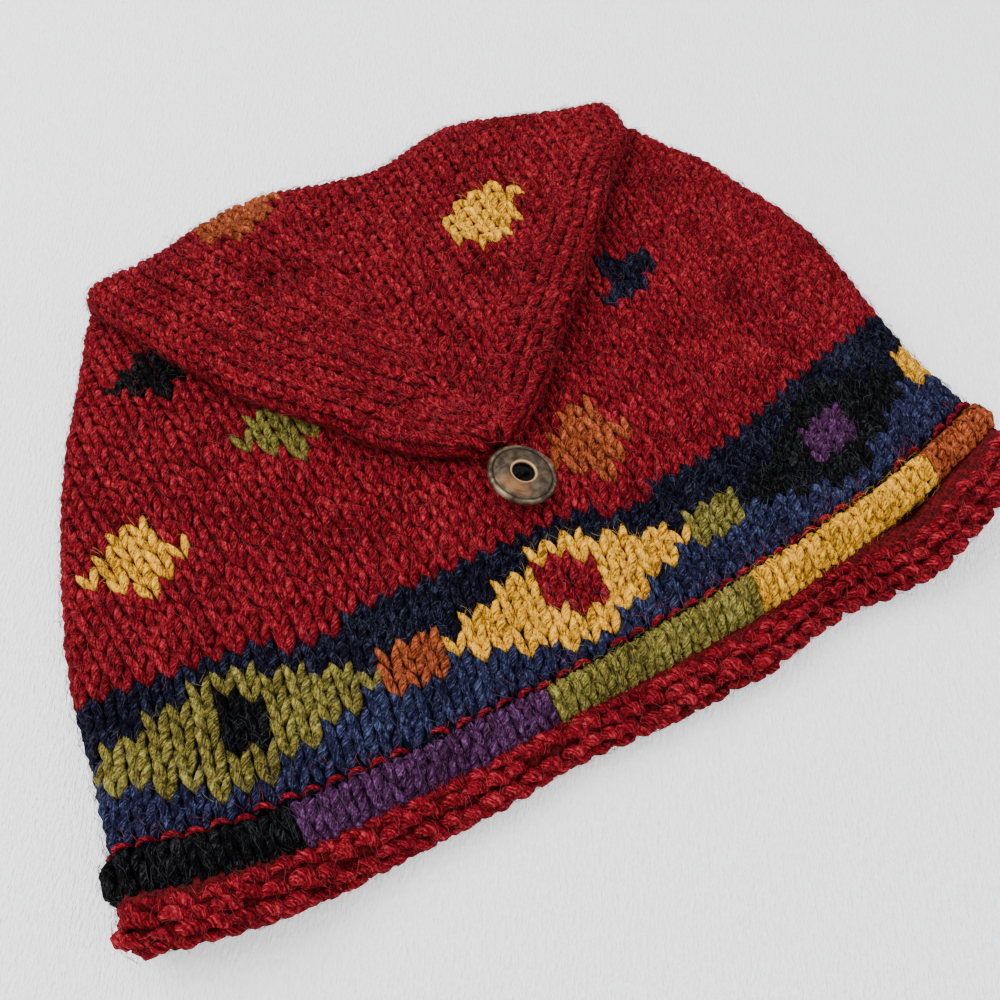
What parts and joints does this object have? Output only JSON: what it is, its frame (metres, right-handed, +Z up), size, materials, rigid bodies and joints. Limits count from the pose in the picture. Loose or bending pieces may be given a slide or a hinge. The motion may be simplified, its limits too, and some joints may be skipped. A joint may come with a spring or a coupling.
{
  "type": "knitted beanie with buttoned flap",
  "caption": "Hand-knitted wool beanie lying flat, with a patterned band, padded welts at the hem and a pointed crown folded forward to a button",
  "frame": {"origin": "on the surface that the hat lies on, midway between hem and fold", "axes": "X along the hem to the viewer's right, Y from the hem to the fold, Z up"},
  "size_m": [0.2702, 0.2065, 0.0301],
  "materials": {
    "red_wool": "heathered hand-knitted wool",
    "navy_wool": "heathered hand-knitted wool",
    "blue_wool": "heathered hand-knitted wool",
    "purple_wool": "heathered hand-knitted wool",
    "olive_wool": "heathered hand-knitted wool",
    "gold_wool": "heathered hand-knitted wool",
    "rust_wool": "heathered hand-knitted wool",
    "black_wool": "heathered hand-knitted wool",
    "button_horn": "turned, polished dark brown with a worn rim"
  },
  "bodies": {
    "root": {"crown": "red_wool", "pattern_band": "navy_wool", "rolled_hem": "red_wool", "welt_purple": "purple_wool", "welt_olive": "olive_wool", "welt_gold": "gold_wool", "welt_rust": "rust_wool", "welt_blue": "blue_wool", "welt_back_olive": "olive_wool", "welt_back_gold": "gold_wool", "welt_black": "black_wool", "button": "button_horn", "button_thread": "black_wool", "tip_loop": "red_wool"}
  },
  "joints": []
}
